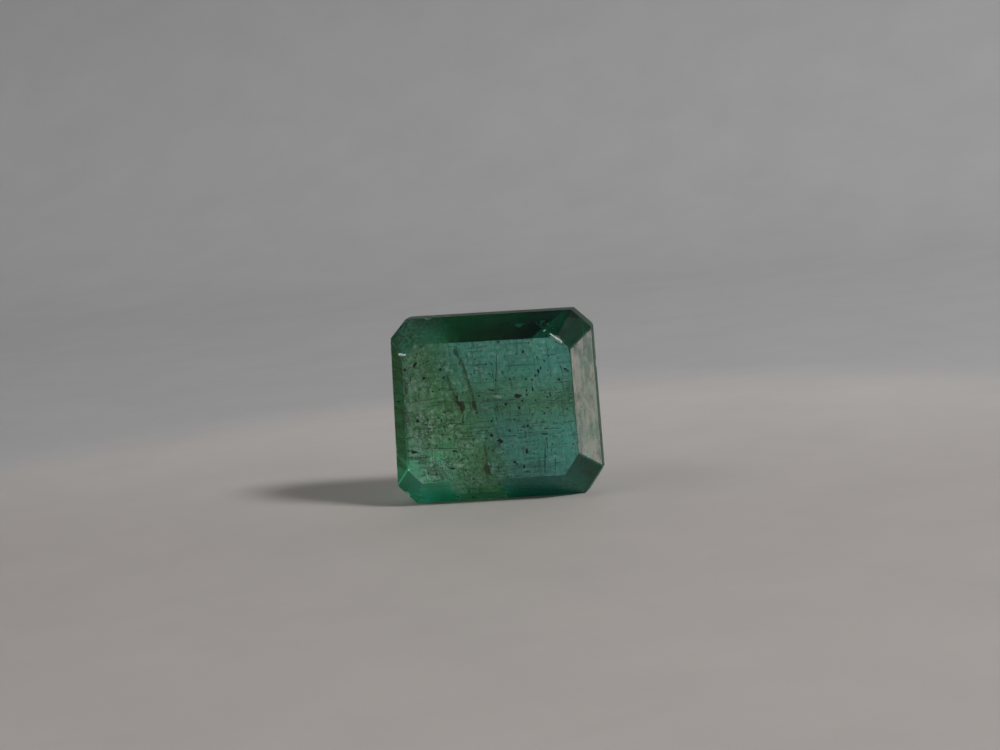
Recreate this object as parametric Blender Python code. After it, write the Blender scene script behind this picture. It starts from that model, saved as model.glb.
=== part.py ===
"""A cut emerald: an octagonal step cut, standing on the lower edge of its girdle.

Frame: metres, +Z up. The table faces -Y, X runs across the stone, and the lower
girdle facet lies on Z = 0. The origin is the middle of that facet, which is the
point on the ground right under the stone.

The stone is made the way a lapidary makes one. A preform block is ground flat
facet after flat facet until only the stone is left, so every facet is a true plane:
one table, eight crown facets, eight girdle facets and three rows of eight pavilion
facets that close in a short keel. Small conchoidal chips are then broken out of
the edges.
"""

import math

import bmesh
import bpy
from mathutils import Matrix, Vector

MM = 0.001

# Overall form: about 10 mm across the girdle and 8.9 mm over its upper and lower facets
CROWN_HEIGHT = 1.30 * MM          # girdle plane to table
GIRDLE_FRONT = -0.80 * MM         # Y of the plane where crown and girdle meet
PREFORM = 14.0 * MM               # edge of the block the stone is ground from

# Outline of the girdle as seen from the front, one side after the other.
# turn: direction of the side's outward normal, degrees up from +X
# reach: distance of the side from the middle of the outline
# inset: how far the table edge lies inside the girdle edge on that side
# girdle: depth of the girdle facet at that side; the lower one is the deepest, and the
#         stone stands on it
# steeper: degrees by which the side's pavilion facets are steeper than PAVILION_ROWS
SIDES = (
    # name           turn   reach      inset      girdle     steeper
    ("right", -1.4, 5.00 * MM, 0.80 * MM, 0.52 * MM, 4.0),
    ("upper_right", 45.0, 6.02 * MM, 1.12 * MM, 0.76 * MM, 2.0),
    ("top", 88.9, 4.39 * MM, 1.08 * MM, 0.90 * MM, 1.0),
    ("upper_left", 135.4, 5.91 * MM, 1.25 * MM, 0.82 * MM, 2.0),
    ("left", 176.0, 4.99 * MM, 0.92 * MM, 0.80 * MM, 4.0),
    ("lower_left", 223.4, 6.30 * MM, 1.40 * MM, 1.20 * MM, -1.0),
    ("bottom", 270.0, 4.50 * MM, 1.20 * MM, 1.60 * MM, -6.0),
    ("lower_right", 322.1, 5.90 * MM, 1.20 * MM, 1.10 * MM, -1.0),
)

# Pavilion rows from the girdle to the keel: slope from the girdle plane in degrees,
# and the inset from the girdle at which the row begins.
PAVILION_ROWS = (
    (62.0, 0.00 * MM),
    (42.0, 0.45 * MM),
    (20.0, 1.35 * MM),
)

# Chips: centre (X, Y, Z), radius, stretch along X, Y and Z, and a turn about Y in degrees
CHIPS = (
    ("table_corner_chip", (3.66 * MM, -2.14 * MM, 7.68 * MM), 0.30 * MM, (1.7, 0.55, 0.7), 42.0),
    ("left_corner_chip", (-3.93 * MM, -2.02 * MM, 7.43 * MM), 0.16 * MM, (1.7, 0.8, 0.5), 0.0),
    ("girdle_nick", (-2.75 * MM, -0.82 * MM, 8.99 * MM), 0.17 * MM, (1.3, 1.2, 0.9), 0.0),
    ("lower_corner_chip", (-4.84 * MM, -0.88 * MM, 0.44 * MM), 0.16 * MM, (1.0, 1.3, 1.5), 40.0),
    ("left_edge_chip", (-5.12 * MM, -0.84 * MM, 2.60 * MM), 0.13 * MM, (0.9, 1.1, 1.8), 0.0),
    ("right_girdle_chip", (4.98 * MM, -0.26 * MM, 6.10 * MM), 0.13 * MM, (0.9, 1.2, 1.7), 0.0),
    ("keel_chip", (-0.35 * MM, 3.02 * MM, 4.63 * MM), 0.20 * MM, (1.8, 0.8, 0.8), 12.0),
)

EMERALD_GREEN = (0.035, 0.200, 0.115, 1.0)


def clear_scene():
    """Remove whatever the scene holds."""
    for item in list(bpy.data.objects):
        bpy.data.objects.remove(item, do_unlink=True)


def grind(bm, point, normal):
    """Grind one flat facet: keep what lies behind the plane and close the cut face."""
    geom = bm.verts[:] + bm.edges[:] + bm.faces[:]
    cut = bmesh.ops.bisect_plane(bm, geom=geom, dist=1e-7, plane_co=point,
                                 plane_no=normal, clear_outer=True)
    rim = [e for e in cut["geom_cut"] if isinstance(e, bmesh.types.BMEdge)]
    if rim:
        bmesh.ops.contextual_create(bm, geom=rim)


def side_frame(turn):
    """Outward direction of an outline side in the XZ plane."""
    angle = math.radians(turn)
    return Vector((math.cos(angle), 0.0, math.sin(angle)))


def pavilion_start(girdle, slopes, row):
    """Y where a pavilion row begins: the girdle's back edge plus the rows before it."""
    depth = GIRDLE_FRONT + girdle
    for index in range(row):
        run = PAVILION_ROWS[index + 1][1] - PAVILION_ROWS[index][1]
        depth += run * math.tan(math.radians(slopes[index]))
    return depth


def build_stone():
    """Grind the preform down to the stone and return the finished mesh object."""
    bm = bmesh.new()
    bmesh.ops.create_cube(bm, size=PREFORM)
    middle = Vector((0.0, 0.0, SIDES[6][2]))
    bmesh.ops.translate(bm, verts=bm.verts[:], vec=middle)

    # The table
    grind(bm, Vector((0.0, GIRDLE_FRONT - CROWN_HEIGHT, 0.0)), Vector((0.0, -1.0, 0.0)))

    back = Vector((0.0, 1.0, 0.0))
    for _, turn, reach, inset, girdle, steeper in SIDES:
        out = side_frame(turn)
        edge = middle + out * reach

        # Girdle facet, square to the table
        grind(bm, edge, out)

        # Crown facet, from the girdle's front edge in to the table
        slope = math.atan2(CROWN_HEIGHT, inset)
        lean = out * math.sin(slope) - back * math.cos(slope)
        grind(bm, Vector((edge.x, GIRDLE_FRONT, edge.z)), lean)

        # Pavilion facets, row after row towards the keel
        slopes = [row_slope + steeper for row_slope, _ in PAVILION_ROWS]
        for row, (_, start) in enumerate(PAVILION_ROWS):
            angle = math.radians(slopes[row])
            foot = middle + out * (reach - start)
            foot.y = pavilion_start(girdle, slopes, row)
            grind(bm, foot, out * math.sin(angle) + back * math.cos(angle))

    bmesh.ops.recalc_face_normals(bm, faces=bm.faces[:])
    mesh = bpy.data.meshes.new("emerald")
    bm.to_mesh(mesh)
    bm.free()
    stone = bpy.data.objects.new("emerald", mesh)
    bpy.context.scene.collection.objects.link(stone)
    return stone


def add_chip(stone, name, centre, radius, stretch, turn):
    """Break one shallow shell-shaped chip out of an edge with a stretched round cutter."""
    bm = bmesh.new()
    bmesh.ops.create_icosphere(bm, subdivisions=2, radius=radius)
    bmesh.ops.scale(bm, vec=Vector(stretch), verts=bm.verts[:])
    bmesh.ops.rotate(bm, cent=Vector((0.0, 0.0, 0.0)), verts=bm.verts[:],
                     matrix=Matrix.Rotation(math.radians(turn), 3, "Y"))
    mesh = bpy.data.meshes.new(name)
    bm.to_mesh(mesh)
    bm.free()
    cutter = bpy.data.objects.new(name, mesh)
    cutter.location = centre
    cutter.hide_render = True
    cutter.display_type = "WIRE"
    bpy.context.scene.collection.objects.link(cutter)

    chip = stone.modifiers.new(name, "BOOLEAN")
    chip.operation = "DIFFERENCE"
    chip.solver = "EXACT"
    chip.object = cutter


def emerald_material():
    """Clear green stone."""
    material = bpy.data.materials.new("emerald")
    material.use_nodes = True
    shader = material.node_tree.nodes["Principled BSDF"]
    shader.inputs["Base Color"].default_value = EMERALD_GREEN
    shader.inputs["Roughness"].default_value = 0.08
    shader.inputs["Metallic"].default_value = 0.0
    shader.inputs["IOR"].default_value = 1.577
    shader.inputs["Transmission Weight"].default_value = 0.8
    material.diffuse_color = EMERALD_GREEN
    return material


def main():
    clear_scene()
    stone = build_stone()
    for name, centre, radius, stretch, turn in CHIPS:
        add_chip(stone, name, centre, radius, stretch, turn)
    stone.data.materials.append(emerald_material())


if __name__ == "__main__":
    main()
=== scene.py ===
"""A cut emerald: an octagonal step-cut stone, cloudy green on one side and teal on the other.

Run as a script in Blender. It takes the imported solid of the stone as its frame, dresses it as
clear green beryl, fills it with the crystals, growth tubes, stains and healed cracks that such a
stone holds, and stands it on a plain pale floor in soft studio light.
"""

import math

import bmesh
import bpy
import numpy as np
from mathutils import Matrix, Vector


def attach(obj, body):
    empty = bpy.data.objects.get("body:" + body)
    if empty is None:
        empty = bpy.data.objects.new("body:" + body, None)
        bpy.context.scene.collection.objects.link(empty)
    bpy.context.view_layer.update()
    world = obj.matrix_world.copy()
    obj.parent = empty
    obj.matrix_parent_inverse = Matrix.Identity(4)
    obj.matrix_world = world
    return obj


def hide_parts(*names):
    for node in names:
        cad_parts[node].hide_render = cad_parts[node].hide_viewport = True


bl_info = {
    "name": "Cut Emerald",
    "version": (1, 0, 0),
    "blender": (4, 5, 0),
    "location": "3D View > Sidebar > Emerald",
    "description": "Dresses a step-cut emerald with its inclusions and sets it on a pale floor",
    "category": "Object",
}

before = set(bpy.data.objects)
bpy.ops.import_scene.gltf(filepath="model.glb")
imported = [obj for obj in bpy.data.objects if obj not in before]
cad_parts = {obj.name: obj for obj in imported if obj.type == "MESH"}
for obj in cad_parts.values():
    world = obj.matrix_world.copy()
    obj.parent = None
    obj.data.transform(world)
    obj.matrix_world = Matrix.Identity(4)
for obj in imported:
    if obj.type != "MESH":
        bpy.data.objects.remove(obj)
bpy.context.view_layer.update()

MM = 0.001
NODE = "emerald"
BODY = "root"


# Settings


class StoneSettings(bpy.types.PropertyGroup):
    """Sizes and colours of the clear stone itself."""

    edge_wear: bpy.props.FloatProperty(
        name="Edge wear", description="Width of the worn rounding along the facet edges",
        default=0.035 * MM, subtype="DISTANCE", unit="LENGTH")
    clearness: bpy.props.FloatProperty(
        name="Clearness", description="Share of the light that passes into the stone",
        default=1.0, subtype="FACTOR", min=0.0, max=1.0)
    bending: bpy.props.FloatProperty(
        name="Refractive index", description="How strongly the stone bends light", default=1.577)
    depth_colour: bpy.props.FloatVectorProperty(
        name="Depth colour", description="Colour the stone takes on with depth",
        default=(0.10, 0.73, 0.555), subtype="COLOR", size=3, min=0.0, max=1.0)
    depth_strength: bpy.props.FloatProperty(
        name="Depth strength", description="How fast that colour deepens, per metre", default=130.0)
    leaf: bpy.props.FloatVectorProperty(
        name="Leaf green", description="Colour of the cloudy green half",
        default=(0.178, 0.478, 0.198), subtype="COLOR", size=3, min=0.0, max=1.0)
    olive: bpy.props.FloatVectorProperty(
        name="Olive", description="Colour of the level band across the teal half",
        default=(0.165, 0.407, 0.22), subtype="COLOR", size=3, min=0.0, max=1.0)
    teal: bpy.props.FloatVectorProperty(
        name="Teal", description="Colour of the clearer blue-green half",
        default=(0.145, 0.522, 0.439), subtype="COLOR", size=3, min=0.0, max=1.0)
    # Painted shade: rim and deep are tints that darken the crown facets round the table, standing in for
    # the little light that comes back out through them
    rim: bpy.props.FloatVectorProperty(
        name="Rim shade", description="What the crown facets round the table let through",
        default=(0.030, 0.69, 0.58), subtype="COLOR", size=3, min=0.0, max=1.0)
    deep: bpy.props.FloatVectorProperty(
        name="Deep shade", description="What the darkest crown facets let through of that",
        default=(0.0, 0.16, 0.16), subtype="COLOR", size=3, min=0.0, max=1.0)
    # Painted glow: a brighter green painted in the lower left, standing in for light that passes through
    # the stone there
    painted_glow: bpy.props.FloatVectorProperty(
        name="Bright green", description="Colour of the lively patch in the lower left",
        default=(0.22, 0.96, 0.54), subtype="COLOR", size=3, min=0.0, max=1.0)


class InclusionSettings(bpy.types.PropertyGroup):
    """Numbers and colours of what lies inside the stone."""

    seed: bpy.props.IntProperty(name="Seed", description="Picks the scattered grains", default=7)
    fine_grains: bpy.props.IntProperty(
        name="Fine grains", description="Number of small scattered dark crystals", default=650)
    tubes: bpy.props.IntProperty(
        name="Growth tubes", description="Number of thin straight tubes across the stone", default=380)
    flakes: bpy.props.IntProperty(
        name="Pale flakes", description="Number of pale grains in the veils", default=1500)


class StageSettings(bpy.types.PropertyGroup):
    """Camera, floor and light."""

    azimuth: bpy.props.FloatProperty(
        name="Azimuth", description="Camera's turn to the stone's right",
        default=math.radians(15.0), subtype="ANGLE", unit="ROTATION")
    elevation: bpy.props.FloatProperty(
        name="Elevation", description="Camera's height angle",
        default=math.radians(8.5), subtype="ANGLE", unit="ROTATION")
    roll: bpy.props.FloatProperty(
        name="Roll", description="Camera's turn about its own view",
        default=math.radians(6.4), subtype="ANGLE", unit="ROTATION")
    lens: bpy.props.FloatProperty(
        name="Lens", description="Focal length in millimetres on a 36 mm sensor", default=85.0)
    distance: bpy.props.FloatProperty(
        name="Distance", description="Camera's distance from the stone",
        default=112.43 * MM, subtype="DISTANCE", unit="LENGTH")
    floor_colour: bpy.props.FloatVectorProperty(
        name="Floor colour", description="Pale floor", default=(0.64, 0.60, 0.57),
        subtype="COLOR", size=3, min=0.0, max=1.0)
    far_colour: bpy.props.FloatVectorProperty(
        name="Far colour", description="Floor away from the stone", default=(0.64, 0.64, 0.65),
        subtype="COLOR", size=3, min=0.0, max=1.0)
    wall_colour: bpy.props.FloatVectorProperty(
        name="Wall colour", description="Backdrop behind the floor", default=(0.455, 0.455, 0.465),
        subtype="COLOR", size=3, min=0.0, max=1.0)
    window_power: bpy.props.FloatProperty(
        name="Window power", description="Power of the soft light from the right", default=0.83)
    fill_power: bpy.props.FloatProperty(
        name="Fill power", description="Power of the wide soft light from the front left",
        default=0.42)
    room_light: bpy.props.FloatProperty(
        name="Room light", description="Strength of the even light from all around", default=0.20)


# Node helpers


def put(tree, kind, links=None, **settings):
    """Add a node, set its properties, and feed or set its inputs by name or number."""
    node = tree.nodes.new(kind)
    for key, value in settings.items():
        setattr(node, key, value)
    for key, value in (links or {}).items():
        socket = node.inputs[key]
        if isinstance(value, bpy.types.NodeSocket):
            tree.links.new(value, socket)
        else:
            socket.default_value = value
    return node


def math_node(tree, operation, first, second=0.0, clamp=False):
    """A Math node's output."""
    return put(tree, "ShaderNodeMath", {0: first, 1: second}, operation=operation,
               use_clamp=clamp).outputs[0]


def multiply_add(tree, value, factor, addend):
    """A value times a factor plus an addend."""
    return put(tree, "ShaderNodeMath", {0: value, 1: factor, 2: addend},
               operation="MULTIPLY_ADD").outputs[0]


def ramp(tree, value, low, high):
    """A smooth 0 to 1 step of a value between two limits."""
    return put(tree, "ShaderNodeMapRange", {"Value": value, "From Min": low, "From Max": high},
               interpolation_type="SMOOTHSTEP").outputs["Result"]


def noise(tree, vector, scale, detail=3.0, rough=0.55, distortion=0.0):
    """A Noise texture's factor."""
    return put(tree, "ShaderNodeTexNoise",
               {"Vector": vector, "Scale": scale, "Detail": detail, "Roughness": rough,
                "Distortion": distortion}).outputs["Fac"]


def stretch(tree, vector, scale, turn=(0.0, 0.0, 0.0)):
    """The same place, scaled and turned by a Mapping node."""
    return put(tree, "ShaderNodeMapping", {"Vector": vector, "Scale": scale, "Rotation": turn},
               vector_type="POINT").outputs[0]


def blend_colour(tree, factor, first, second, mode="MIX"):
    """A colour mix."""
    node = put(tree, "ShaderNodeMix", data_type="RGBA", blend_type=mode, clamp_factor=True)
    for socket, value in ((node.inputs["Factor"], factor), (node.inputs[6], first),
                          (node.inputs[7], second)):
        if isinstance(value, bpy.types.NodeSocket):
            tree.links.new(value, socket)
        elif socket.type == "RGBA":
            socket.default_value = (*value[:3], 1.0)
        else:
            socket.default_value = value
    return node.outputs[2]


def millimetres(tree):
    """The place on the object in millimetres."""
    place = put(tree, "ShaderNodeTexCoord").outputs["Object"]
    return stretch(tree, place, (1000.0, 1000.0, 1000.0))


def new_group(name, inputs, outputs):
    """An empty shader node group with the named sockets."""
    group = bpy.data.node_groups.new(name, "ShaderNodeTree")
    for socket, kind in inputs:
        group.interface.new_socket(socket, in_out="INPUT", socket_type=kind)
    for socket, kind in outputs:
        group.interface.new_socket(socket, in_out="OUTPUT", socket_type=kind)
    return group, group.nodes.new("NodeGroupInput"), group.nodes.new("NodeGroupOutput")


def use_group(tree, group, links):
    """Place a node group with its values."""
    node = tree.nodes.new("ShaderNodeGroup")
    node.node_tree = group
    for key, value in links.items():
        if isinstance(value, bpy.types.NodeSocket):
            tree.links.new(value, node.inputs[key])
        elif node.inputs[key].type == "RGBA":
            node.inputs[key].default_value = (*value[:3], 1.0)
        else:
            node.inputs[key].default_value = value
    return node


def streaks(tree, place, scale, low, high, patch):
    """Dark streaks drawn out along the axis of the smallest scale, gathered in patches."""
    line = ramp(tree, noise(tree, stretch(tree, place, scale), 1.0, 3.0, 0.65), low, high)
    where = ramp(tree, noise(tree, place, patch, 2.0), 0.42, 0.60)
    return math_node(tree, "MULTIPLY", line, where, clamp=True)


# Rusty glows round the stained cracks: middle (mm), scale per mm, turn (radians), strength
RUST_GLOWS = (
    ((-1.55, -1.0, 4.85), (2.1, 0.0, 0.85), 0.25, 0.55),
    ((-0.95, -1.0, 6.00), (3.4, 0.0, 0.55), 0.17, 0.35),
    ((-0.45, -1.0, 2.00), (2.6, 0.0, 0.90), -0.05, 0.55),
    ((0.30, -1.0, 5.25), (1.3, 0.0, 3.6), 0.0, 0.45),
    ((-4.10, -1.0, 4.40), (2.2, 0.0, 0.9), 0.0, 0.40),
)


def zoning_group():
    """Growth zoning: green on one side, teal on the other, an olive band, a bright corner that is a
    painted glow, and painted shade along the top left.

    The colour is followed by how cloudy the place is, and by the share of the teal side.
    """
    name = "growth_zoning"
    if name in bpy.data.node_groups:
        return bpy.data.node_groups[name]
    group, into, out = new_group(
        name,
        (("Place", "NodeSocketVector"), ("Leaf", "NodeSocketColor"), ("Teal", "NodeSocketColor"),
         ("Bright", "NodeSocketColor"), ("Olive", "NodeSocketColor")),
        (("Colour", "NodeSocketColor"), ("Cloud", "NodeSocketFloat"), ("Side", "NodeSocketFloat")))
    place = into.outputs["Place"]
    parts = put(group, "ShaderNodeSeparateXYZ", {0: place})
    across, up = parts.outputs["X"], parts.outputs["Z"]
    lean = multiply_add(group, up, 0.42, -0.55)
    edge = math_node(group, "ADD", across, lean)
    wander = noise(group, place, 0.9, 4.0)
    edge = multiply_add(group, wander, 1.4, edge)
    side = ramp(group, edge, 0.35, 1.05)
    colour = blend_colour(group, side, into.outputs["Leaf"], into.outputs["Teal"])
    bay = math_node(group, "MULTIPLY", ramp(group, across, 1.4, 3.4), 0.9)
    colour = blend_colour(group, bay, colour, (1.25, 1.24, 1.36), "MULTIPLY")
    dusk = math_node(group, "MULTIPLY", ramp(group, up, 4.8, 6.8),
                     math_node(group, "SUBTRACT", 1.0, side))
    colour = blend_colour(group, dusk, colour, (0.58, 0.76, 0.68), "MULTIPLY")
    # painted shade: darker along the top edge on the left
    brow = math_node(group, "MULTIPLY", ramp(group, up, 7.5, 8.2), ramp(group, across, -1.2, -2.6))
    colour = blend_colour(group, brow, colour, (0.60, 0.72, 0.56), "MULTIPLY")

    soft = ramp(group, noise(group, place, 1.7, 3.0, 0.6), 0.62, 0.36)
    colour = blend_colour(group, soft, colour, (0.80, 0.83, 0.80), "MULTIPLY")

    # painted glow: the lower left corner is painted bright green, standing in for light passing through
    # the stone
    low = math_node(group, "MULTIPLY", ramp(group, up, 3.1, 1.9),
                    multiply_add(group, ramp(group, up, 0.8, 1.5), 0.65, 0.35))
    left = ramp(group, across, -1.4, -3.1)
    corner = math_node(group, "MULTIPLY", low, left, clamp=True)
    colour = blend_colour(group, corner, colour, into.outputs["Bright"])

    sway = multiply_add(group, wander, 0.5, -4.82)
    middle = math_node(group, "ABSOLUTE", math_node(group, "ADD", up, sway))
    core = ramp(group, middle, 0.30, 0.08)
    broad = math_node(group, "MULTIPLY", ramp(group, middle, 1.5, 0.4), 0.55)
    band = math_node(group, "MULTIPLY", math_node(group, "MAXIMUM", core, broad), side)
    colour = blend_colour(group, band, colour, into.outputs["Olive"])

    for middle, size, turn, amount in RUST_GLOWS:
        at = put(group, "ShaderNodeVectorMath", {0: place, 1: middle}, operation="SUBTRACT").outputs[0]
        away = put(group, "ShaderNodeVectorMath", {0: stretch(group, at, size, (0.0, turn, 0.0))},
                   operation="LENGTH").outputs["Value"]
        glow = math_node(group, "MULTIPLY", ramp(group, multiply_add(group, wander, 0.8, away), 1.5, 0.5),
                         amount)
        colour = blend_colour(group, glow, colour, (0.12, 0.20, 0.035))

    sugar = noise(group, place, 4.8, 6.0, 0.72, 0.3)
    cloudy = math_node(group, "SUBTRACT", 1.0, math_node(group, "MULTIPLY", side, 0.55))
    patch = multiply_add(group, ramp(group, noise(group, place, 0.9, 2.0), 0.40, 0.60), 0.90, 0.18)
    cloudy = math_node(group, "MULTIPLY", cloudy, patch)
    strip = math_node(group, "ABSOLUTE", math_node(group, "ADD", across, 3.80))
    spot = put(group, "ShaderNodeVectorMath",
               {0: stretch(group, place, (1.0, 0.0, 1.4)), 1: (-2.9, 0.0, 2.5)},
               operation="DISTANCE").outputs["Value"]
    veil = math_node(group, "MAXIMUM", ramp(group, strip, 0.60, 0.15), ramp(group, spot, 1.2, 0.3))
    lifted = multiply_add(group, veil, 0.07, sugar)
    light = math_node(group, "MULTIPLY", ramp(group, lifted, 0.505, 0.585),
                      math_node(group, "MAXIMUM", cloudy, veil), clamp=True)
    dim = math_node(group, "MULTIPLY", ramp(group, sugar, 0.495, 0.40), cloudy, clamp=True)
    dim = math_node(group, "MULTIPLY", dim, multiply_add(group, corner, -0.6, 1.0))
    colour = blend_colour(group, math_node(group, "MULTIPLY", light, 0.92), colour,
                          (1.0, 1.0, 0.96))
    colour = blend_colour(group, math_node(group, "MULTIPLY", dim, 0.62), colour,
                          (0.16, 0.22, 0.16), "MULTIPLY")

    upright = streaks(group, place, (9.0, 9.0, 0.30), 0.515, 0.64, 0.7)
    level = streaks(group, place, (0.32, 0.6, 10.0), 0.515, 0.64, 0.6)
    lines = math_node(group, "MAXIMUM", upright, level)
    colour = blend_colour(group, math_node(group, "MULTIPLY", lines, 0.8), colour,
                          (0.20, 0.30, 0.26), "MULTIPLY")
    group.links.new(colour, out.inputs["Colour"])
    group.links.new(light, out.inputs["Cloud"])
    group.links.new(side, out.inputs["Side"])
    return group


def grain_group():
    """A lumpy grain: a 0 to 1 mask and a height for bump."""
    name = "grain"
    if name in bpy.data.node_groups:
        return bpy.data.node_groups[name]
    group, into, out = new_group(
        name,
        (("Place", "NodeSocketVector"), ("Scale", "NodeSocketFloat"), ("Contrast", "NodeSocketFloat")),
        (("Mask", "NodeSocketFloat"), ("Height", "NodeSocketFloat")))
    texture = put(group, "ShaderNodeTexNoise",
                  {"Vector": into.outputs["Place"], "Scale": into.outputs["Scale"],
                   "Detail": 4.0, "Roughness": 0.62})
    centred = math_node(group, "SUBTRACT", texture.outputs["Fac"], 0.5)
    strong = put(group, "ShaderNodeMath", {0: centred, 1: into.outputs["Contrast"], 2: 0.5},
                 operation="MULTIPLY_ADD", use_clamp=True).outputs[0]
    group.links.new(strong, out.inputs["Mask"])
    group.links.new(texture.outputs["Fac"], out.inputs["Height"])
    return group


def fresh_material(name):
    """A material with its Principled shader, ready for nodes."""
    material = bpy.data.materials.new(name)
    material.use_nodes = True
    tree = material.node_tree
    return material, tree, tree.nodes["Principled BSDF"]


def beryl_material(settings):
    """Clear green beryl: zoned colour, soft cloud, worn edges, frosted chips, and painted shade on the
    crown facets round the table.
    """
    material, tree, shader = fresh_material("green_beryl")
    place = millimetres(tree)
    zones = use_group(tree, zoning_group(), {
        "Place": place, "Leaf": settings.leaf, "Teal": settings.teal,
        "Bright": settings.painted_glow, "Olive": settings.olive})
    masks = {name: put(tree, "ShaderNodeAttribute", attribute_name=name).outputs["Fac"]
             for name in ("worn_edge", "chip", "girdle", "pavilion", "rim_painted_shade")}
    parts = put(tree, "ShaderNodeSeparateXYZ", {0: place})
    # Painted shade on the crown facets: full on both sides and at the top, weakest low in the middle,
    # strongest at the top right
    upper = ramp(tree, parts.outputs["Z"], 2.0, 4.5)
    kept = math_node(tree, "MAXIMUM", ramp(tree, parts.outputs["X"], -1.0, 1.2),
                     ramp(tree, parts.outputs["X"], -1.6, -3.0))
    kept = math_node(tree, "MAXIMUM", math_node(tree, "MAXIMUM", kept, upper), 0.22)
    far_top = math_node(tree, "MULTIPLY", ramp(tree, parts.outputs["X"], 1.8, 3.2), upper)
    kept = multiply_add(tree, far_top, 0.45, kept)
    shade = math_node(tree, "MULTIPLY", masks["rim_painted_shade"], kept)
    masks["rim_painted_shade"] = math_node(tree, "MINIMUM", shade, 1.0)
    masks["deep_shade"] = math_node(tree, "SUBTRACT", shade, 1.0, clamp=True)
    colour = zones.outputs["Colour"]
    for mask, amount, tint in (("worn_edge", 0.5, (0.80, 0.92, 0.84)), ("chip", 1.0, (1.0, 1.0, 1.0)),
                               ("girdle", 0.7, (0.50, 0.60, 0.56))):
        colour = blend_colour(tree, math_node(tree, "MULTIPLY", masks[mask], amount), colour, tint)
    # paint the shade of the crown facets
    colour = blend_colour(tree, masks["rim_painted_shade"], colour, settings.rim, "MULTIPLY")
    colour = blend_colour(tree, masks["deep_shade"], colour, settings.deep, "MULTIPLY")

    fine = use_group(tree, grain_group(), {"Place": place, "Scale": 7.0, "Contrast": 2.0})
    rough = multiply_add(tree, fine.outputs["Mask"], 0.05, 0.05)
    rough = multiply_add(tree, zones.outputs["Cloud"], 0.10, rough)
    hazy = math_node(tree, "MULTIPLY", masks["pavilion"],
                     math_node(tree, "SUBTRACT", 1.0, zones.outputs["Side"]))
    rough = multiply_add(tree, hazy, 0.22, rough)
    for mask, amount in (("chip", 0.40), ("girdle", 0.40), ("worn_edge", 0.15), ("pavilion", 0.14)):
        rough = multiply_add(tree, masks[mask], amount, rough)
    foot = math_node(tree, "MULTIPLY", ramp(tree, parts.outputs["X"], -0.8, 0.8),
                     math_node(tree, "SUBTRACT", 1.0, upper))
    dull = math_node(tree, "MAXIMUM", ramp(tree, parts.outputs["X"], -0.8, -3.0), foot)
    breath = math_node(tree, "MULTIPLY", masks["rim_painted_shade"], dull)
    rough = multiply_add(tree, breath, 0.34, rough)

    scratches = noise(tree, stretch(tree, place, (2.0, 2.0, 14.0), (0.0, 0.6, 0.0)), 1.0, 5.0, 0.7)
    height = math_node(tree, "ADD", math_node(tree, "MULTIPLY", scratches, 0.5),
                       math_node(tree, "MULTIPLY", fine.outputs["Height"], 0.5))
    bump = put(tree, "ShaderNodeBump", {"Strength": 0.10, "Distance": 0.02 * MM, "Height": height})

    tree.links.new(colour, shader.inputs["Base Color"])
    tree.links.new(rough, shader.inputs["Roughness"])
    tree.links.new(bump.outputs["Normal"], shader.inputs["Normal"])
    shader.inputs["Metallic"].default_value = 0.0
    shader.inputs["Transmission Weight"].default_value = settings.clearness
    shader.inputs["IOR"].default_value = settings.bending
    depth = put(tree, "ShaderNodeVolumeAbsorption",
                {"Color": (*settings.depth_colour, 1.0), "Density": settings.depth_strength})
    tree.links.new(depth.outputs[0], tree.nodes["Material Output"].inputs["Volume"])
    return material


def film_and_sheen_material():
    """A dry pale film in patches, partly a painted reflection of the window light: opaque where thick,
    see-through between.
    """
    material, tree, shader = fresh_material("film_and_painted_sheen")
    place = millimetres(tree)
    cover = put(tree, "ShaderNodeAttribute", attribute_name="cover").outputs["Fac"]
    blotches = noise(tree, stretch(tree, place, (1.4, 1.4, 0.8)), 1.0, 5.0, 0.68, 0.5)
    smears = noise(tree, stretch(tree, place, (5.0, 5.0, 0.7), (0.0, -0.10, 0.0)), 1.0, 3.0, 0.6)
    thick = multiply_add(tree, ramp(tree, blotches, 0.32, 0.66), 0.25, 0.17)
    thick = multiply_add(tree, ramp(tree, smears, 0.40, 0.66), 0.10, thick)
    pits = ramp(tree, noise(tree, place, 6.0, 2.0), 0.36, 0.28)
    thick = multiply_add(tree, pits, -0.25, thick)
    tint = blend_colour(tree, ramp(tree, noise(tree, place, 1.1, 3.0), 0.40, 0.62),
                        (0.76, 0.66, 0.62), (0.64, 0.66, 0.59))
    tree.links.new(tint, shader.inputs["Base Color"])
    tree.links.new(math_node(tree, "MULTIPLY", thick, cover, clamp=True), shader.inputs["Alpha"])
    shader.inputs["Roughness"].default_value = 0.45
    return material


def skin_material():
    """A thin brown-green skin in level streaks, see-through between them."""
    material, tree, shader = fresh_material("stained_skin")
    place = millimetres(tree)
    level = noise(tree, stretch(tree, place, (0.6, 0.6, 3.2)), 1.0, 4.0, 0.65)
    tint = blend_colour(tree, ramp(tree, level, 0.40, 0.62), (0.018, 0.215, 0.065),
                        (0.052, 0.130, 0.020))
    tree.links.new(tint, shader.inputs["Base Color"])
    cover = put(tree, "ShaderNodeAttribute", attribute_name="cover").outputs["Fac"]
    thick = multiply_add(tree, ramp(tree, level, 0.35, 0.65), 0.30, 0.50)
    tree.links.new(math_node(tree, "MULTIPLY", thick, cover, clamp=True), shader.inputs["Alpha"])
    shader.inputs["Roughness"].default_value = 0.6
    shader.inputs["Specular IOR Level"].default_value = 0.1
    return material


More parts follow.
